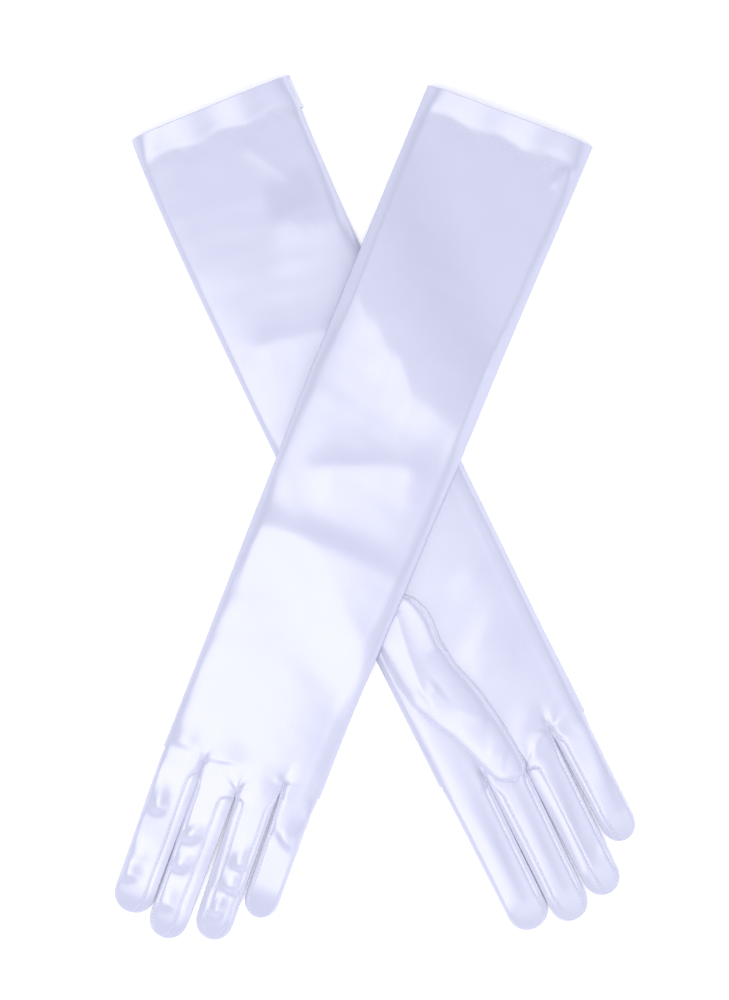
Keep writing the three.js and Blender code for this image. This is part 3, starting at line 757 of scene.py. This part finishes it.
for side, glove in GLOVES.items():
    rings = []
    for t in np.linspace(0, 1, THUMB_ROWS):
        y = THUMB_TOP + (THUMB_TIP - THUMB_TOP) * smooth(t) ** 0.9
        left, right = np.interp(y, THUMB_Y, THUMB_LEFT), np.interp(y, THUMB_Y, THUMB_RIGHT)
        tip = math.sqrt(max(0.0, 1 - max(0.0, (7 - (y - THUMB_TIP)) / 7) ** 2.2))
        root = math.sqrt(max(0.0, 1 - max(0.0, (7 - (THUMB_TOP - y)) / 7) ** 2.2))
        middle, half = (left + right) / 2, max((right - left) / 2 * min(tip, root), 1e-4)
        bulge = min(0.7, 0.45 * half)
        p = np.linspace(-1, 1, THUMB_COLUMNS) * (half - bulge)
        q = p / max(half - bulge, 1e-6)
        x = middle + p
        row_y = y + 0 * x
        full = THUMB_FULLNESS * min(tip, root) * float(smooth((THUMB_TOP + 4 - y) / 60)) ** 0.5
        folds = sum(crease_height(x, row_y, **crease) for crease in THUMB_CREASES)
        folds = folds + 0.12 * soft_noise(x, row_y, 20, 31)
        edge = 0.45 - 0.33 * smooth((q + 1) / 2)
        level = full * (edge + (1 - edge) * np.sqrt(1 - 0.999 * np.abs(q) ** 3))
        level = level + folds * np.clip(1 - q**8, 0, 1) * min(tip, root)
        upper = np.stack([x, row_y, level], -1)
        under = np.stack([x, row_y, 0 * x], -1)
        side_wall = wall(upper[0], under[0], (-bulge, 0, 0)), wall(upper[-1], under[-1], (bulge, 0, 0))
        rings.append(close_ring(upper, under, *side_wall))
    rings = np.array(rings)
    if side == "right":
        flat = float(sleeve_middle(glove, 50.0))
        palm = float(stepped(50 / SLEEVE_LENGTH, FULLNESS_AT, FULLNESS[side]))
        q = np.clip(np.abs(rings[..., 0] - flat) / 46.3, 0, 1)
        rings[..., 2] += palm * (0.66 + 0.34 * np.sqrt(1 - q**8)) + THUMB_ABOVE_PALM
    quads, _ = grid_faces(THUMB_ROWS, rings.shape[1], 0)
    points, quads, normals = welded(rings.reshape(-1, 3), quads[:, ::-1])
    turned = turned_to_table(glove, normals)
    thumb = cloth_shell(f"{side}_thumb_cloth", to_table(glove, points), quads, turned, points[:, :2].copy())
    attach(thumb, f"{side}_thumb")
    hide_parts(f"{side}_thumb")
    layer = rings[:, THUMB_COLUMNS - 3]
    seam_paths[(side, "thumb")] = [to_table(glove, layer[6:-8])]


# ---- Side seams --------------------------------------------------------------------------------
# Inside the little-finger side the two raw edges of the satin are overlocked together. They lie as
# a narrow double strip from the little finger to the hem.

ALLOWANCE_WIDTH = 6.0
ALLOWANCE_INSET = 1.9


def closed_strip(name, glove, rings, material):
    """A flat strip of cloth through those rings, closed at both ends."""
    columns = rings.shape[1]
    quads, _ = grid_faces(len(rings), columns, 0)
    points = to_table(glove, rings).reshape(-1, 3) / 1000
    caps = [list(range(columns))[::-1], list(range(len(points) - columns, len(points)))]
    mesh = bpy.data.meshes.new(name)
    mesh.from_pydata(points.tolist(), [], quads.tolist() + caps)
    layer = mesh.uv_layers.new(name="Cloth")
    corners = np.zeros(len(mesh.loops), np.int64)
    mesh.loops.foreach_get("vertex_index", corners)
    layer.data.foreach_set("uv", rings.reshape(-1, 3)[corners, :2].reshape(-1))
    mesh.materials.append(material)
    strip = bpy.data.objects.new(name, mesh)
    bpy.context.scene.collection.objects.link(strip)
    return strip


for side, glove in GLOVES.items():
    ys = np.linspace(14, SLEEVE_LENGTH - HEM_DEPTH - 2, 150)
    edge = sleeve_middle(glove, ys) + sleeve_half_width(glove, ys) - ALLOWANCE_INSET
    wavy = 0.35 * np.sin(ys / 9.0) + 0.2 * np.sin(ys / 4.1)
    rings = []
    for y, x1, w in zip(ys, edge, wavy):
        x = np.linspace(x1 - ALLOWANCE_WIDTH + w, x1, 9)
        rim = np.clip(1 - np.abs(np.linspace(-1, 1, 9)) ** 8, 0, 1)
        upper = np.stack([x, 0 * x + y, 1.55 + 0.4 * rim + 0.12 * w], -1)
        under = np.stack([x, 0 * x + y, 1.55 - 0.3 * rim + 0.12 * w], -1)
        rings.append(np.concatenate([upper, under[-2:0:-1]]))
    rings = np.array(rings)
    slant = glove["slant"] / 101 * smooth((rings[..., 1] - 250) / (SLEEVE_LENGTH - 250))
    rings[..., 1] += slant * (rings[..., 0] - sleeve_middle(glove, rings[..., 1]))
    rings[..., 2] += table_lift(side, rings[..., 0], rings[..., 1])
    allowance = closed_strip(f"{side}_seam_allowance_cloth", glove, rings, satin_back)
    smooth_faces = [True] * (len(allowance.data.polygons) - 2) + [False] * 2
    allowance.data.polygons.foreach_set("use_smooth", smooth_faces)
    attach(allowance, f"{side}_glove")
    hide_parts(f"{side}_seam_allowance")


# ---- Label -------------------------------------------------------------------------------------
# A blank woven label with folded ends, caught in the side seam of the right glove and lying loose
# on the inside of the sleeve.

label_tape = woven("Woven polyester label tape", "#F1F1EE", "#E8E8E5", 0.7, 0.4, 0.0, 0.5, 0.25)
LABEL_THICKNESS = 0.4
LABEL_HALF_WIDTH, LABEL_HALF_LENGTH = 16.5, 12
low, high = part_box("right_label")
corner_middle = (np.array(low) + np.array(high)) / 2 * 1000
centre_x, centre_y = from_table(GLOVES["right"], corner_middle[:2])
rings = []
for v in np.linspace(-LABEL_HALF_LENGTH, LABEL_HALF_LENGTH, 25):
    u = np.linspace(-LABEL_HALF_WIDTH, LABEL_HALF_WIDTH, 34)
    curl = 0.12 * np.sin(u / 5.0) + 0.18 * (np.abs(v) / LABEL_HALF_LENGTH) ** 3
    half = 0.5 * LABEL_THICKNESS * np.clip(1 - (np.abs(u) / LABEL_HALF_WIDTH) ** 20, 0.3, 1)
    x, y, z = centre_x + u, centre_y + v + 0 * u, corner_middle[2] + curl
    upper, under = np.stack([x, y, z + half], -1), np.stack([x, y, z - half], -1)
    rings.append(np.concatenate([upper, under[::-1]]))
label = closed_strip("right_label_tape", GLOVES["right"], np.array(rings), label_tape)
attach(label, "right_glove")
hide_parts("right_label")


# ---- Stitching ---------------------------------------------------------------------------------
# White polyester thread. A row of short stitches holds each fourchette to its stall and closes the
# thumb, and a row of blind stitches holds the hem.

thread = bpy.data.materials.new("Spun white polyester thread")
thread.use_nodes = True
tree = thread.node_tree
where = add_node(tree, "ShaderNodeTexCoord")
# the thread's plies turn every 0.6 mm
plies = add_node(
    tree, "ShaderNodeTexWave", {"bands_direction": "DIAGONAL", "@Scale": 1000 / 0.6 / 2 / math.pi},
    Vector=where.outputs["Object"],
)
ply_relief = {"@Strength": 0.3, "@Distance": 0.0001}
ply_bump = add_node(tree, "ShaderNodeBump", ply_relief, Height=plies.outputs["Fac"])
shader = tree.nodes["Principled BSDF"]
shader.inputs["Base Color"].default_value = linear("#E9EAF6")
shader.inputs["Roughness"].default_value = 0.5
tree.links.new(ply_bump.outputs["Normal"], shader.inputs["Normal"])


def stitch_tree():
    """Stitches laid end to end along a path: a long bead at each step, turned along the path."""
    tree = bpy.data.node_groups.new("Row of stitches", "GeometryNodeTree")
    face = tree.interface
    face.new_socket("Path", in_out="INPUT", socket_type="NodeSocketGeometry")
    for name in ("Stitch Pitch", "Stitch Length", "Thread Radius"):
        face.new_socket(name, in_out="INPUT", socket_type="NodeSocketFloat")
    face.new_socket("Thread", in_out="INPUT", socket_type="NodeSocketMaterial")
    face.new_socket("Stitches", in_out="OUTPUT", socket_type="NodeSocketGeometry")
    given = add_node(tree, "NodeGroupInput")
    path = add_node(tree, "GeometryNodeMeshToCurve", Mesh=given.outputs["Path"])
    steps = add_node(
        tree, "GeometryNodeCurveToPoints", {"mode": "LENGTH"},
        Curve=path.outputs["Curve"], Length=given.outputs["Stitch Pitch"],
    )
    bead = add_node(tree, "GeometryNodeMeshUVSphere", {"@Segments": 6, "@Rings": 5, "@Radius": 1.0})
    along = add_node(
        tree, "FunctionNodeAlignRotationToVector", {"axis": "Z"}, Vector=steps.outputs["Tangent"]
    )
    half = add_node(
        tree, "ShaderNodeMath", {"operation": "MULTIPLY", "@1": 0.5}, _0=given.outputs["Stitch Length"]
    )
    size = add_node(
        tree, "ShaderNodeCombineXYZ",
        X=given.outputs["Thread Radius"], Y=given.outputs["Thread Radius"], Z=half.outputs[0],
    )
    laid = add_node(
        tree, "GeometryNodeInstanceOnPoints",
        Points=steps.outputs["Points"], Instance=bead.outputs["Mesh"],
        Rotation=along.outputs["Rotation"], Scale=size.outputs["Vector"],
    )
    real = add_node(tree, "GeometryNodeRealizeInstances", Geometry=laid.outputs["Instances"])
    made = add_node(
        tree, "GeometryNodeSetMaterial", Geometry=real.outputs["Geometry"], Material=given.outputs["Thread"]
    )
    add_node(tree, "NodeGroupOutput", Stitches=made.outputs["Geometry"])
    return tree


row_of_stitches = stitch_tree()


def stitched(name, paths, pitch, length, radius):
    """One plain mesh of stitches along those paths, which are in millimetres on the table."""
    points = np.concatenate(paths) / 1000
    edges, first = [], 0
    for path in paths:
        edges += [(first + k, first + k + 1) for k in range(len(path) - 1)]
        first += len(path)
    lines = bpy.data.meshes.new(name + "_path")
    lines.from_pydata(points.tolist(), edges, [])
    holder = bpy.data.objects.new(name + "_path", lines)
    bpy.context.scene.collection.objects.link(holder)
    modifier = holder.modifiers.new("Stitches", "NODES")
    modifier.node_group = row_of_stitches
    values = {
        "Stitch Pitch": pitch / 1000, "Stitch Length": length / 1000, "Thread Radius": radius / 1000,
        "Thread": thread,
    }
    for item in row_of_stitches.interface.items_tree:
        if item.in_out == "INPUT" and item.name in values:
            modifier[item.identifier] = values[item.name]
    ready = holder.evaluated_get(bpy.context.evaluated_depsgraph_get())
    mesh = bpy.data.meshes.new_from_object(ready)
    holder.modifiers.remove(modifier)
    bpy.data.objects.remove(holder)
    mesh.name = name
    mesh.polygons.foreach_set("use_smooth", [True] * len(mesh.polygons))
    row = bpy.data.objects.new(name, mesh)
    bpy.context.scene.collection.objects.link(row)
    return row


for (side, tube), paths in seam_paths.items():
    row = stitched(f"{side}_{tube}_stitches", paths, STITCH_PITCH, 1.9, 0.17)
    if tube == "thumb":
        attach(row, f"{side}_thumb")
    else:
        bends_with_finger(row)

for side, glove in GLOVES.items():
    level = SLEEVE_LENGTH - HEM_DEPTH + 1.5
    middle, half = float(sleeve_middle(glove, level)), float(sleeve_half_width(glove, level)) - EDGE_ROUND
    x = middle + np.linspace(-0.985, 0.985, 180) * half
    ring = sleeve_section(side, x, np.full(len(x), level), level)[: len(x)]
    ring[:, 2] += table_lift(side, ring[:, 0], ring[:, 1])
    row = stitched(f"{side}_hem_stitches", [to_table(glove, ring)], 4.0, 1.0, 0.14)
    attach(row, f"{side}_glove")


# ---- Table, light and camera -------------------------------------------------------------------
# A plain white table under soft studio light: a broad softbox beyond the fingertips, two dimmer ones
# towards the right, a dim ceiling, and bright walls low down that lighten the side edges.

table_mesh = bpy.data.meshes.new("Table")
table_mesh.from_pydata([(-4, -4, 0), (4, -4, 0), (4, 4, 0), (-4, 4, 0)], [], [(0, 1, 2, 3)])
table = bpy.data.objects.new("Table", table_mesh)
bpy.context.scene.collection.objects.link(table)
table.location.z = -0.0004
paper = bpy.data.materials.new("White paper")
paper.use_nodes = True
paper_shader = paper.node_tree.nodes["Principled BSDF"]
paper_shader.inputs["Base Color"].default_value = linear("#FCFCFC")
paper_shader.inputs["Roughness"].default_value = 0.9
paper_shader.inputs["Specular IOR Level"].default_value = 0.1
paper_shader.inputs["Emission Color"].default_value = linear("#FFFFFF")
paper_shader.inputs["Emission Strength"].default_value = 0.22
table_mesh.materials.append(paper)


def softbox(name, place, angles, width, depth, radiance):
    """A rectangular light, turned by those angles in degrees from facing straight down."""
    light = bpy.data.lights.new(name, "AREA")
    light.shape = "RECTANGLE"
    light.size, light.size_y = width, depth
    light.energy = math.pi * width * depth * radiance
    lamp = bpy.data.objects.new(name, light)
    lamp.location = place
    lamp.rotation_euler = [math.radians(angle) for angle in angles]
    bpy.context.scene.collection.objects.link(lamp)


softbox("Main softbox", (-0.373, -0.584, 1.7), (0, 0, 11.3), 1.0, 1.5, 2.9)
softbox("Low softbox", (0.78, -1.15, 1.7), (0, 0, 0), 0.8, 0.9, 1.8)
softbox("Side softbox", (1.5, 0.7, 0.9), (0, 62, 25), 0.9, 1.6, 0.8)

world = bpy.data.worlds.new("Studio")
world.use_nodes = True
sky = world.node_tree
background = sky.nodes["Background"]
background.inputs["Color"].default_value = linear("#EDEFFB")
direction = add_node(sky, "ShaderNodeTexCoord")
height = add_node(sky, "ShaderNodeSeparateXYZ", Vector=direction.outputs["Generated"])
ceiling = add_node(
    sky, "ShaderNodeMapRange", {"@From Min": 0.90, "@From Max": 0.95, "@To Max": 1.1},
    Value=height.outputs["Z"],
)
walls = add_node(
    sky, "ShaderNodeMapRange",
    {"@From Min": 0.74, "@From Max": 0.5, "@To Min": 0.15, "@To Max": 1.35},
    Value=height.outputs["Z"],
)
strength = add_node(
    sky, "ShaderNodeMath", {"operation": "ADD"},
    _0=ceiling.outputs["Result"], _1=walls.outputs["Result"],
)
sky.links.new(strength.outputs["Value"], background.inputs["Strength"])
bpy.context.scene.world = world
bpy.context.scene.view_settings.view_transform = "Standard"

camera_data = bpy.data.cameras.new("Camera")
camera = bpy.data.objects.new("Camera", camera_data)
camera_data.lens = 85
camera_data.sensor_width = 36
camera_data.sensor_fit = "AUTO"
camera.location = (-0.0061, 0.0049, 0.580 * 85 / 36 + 0.004)
bpy.context.scene.collection.objects.link(camera)
bpy.context.scene.camera = camera
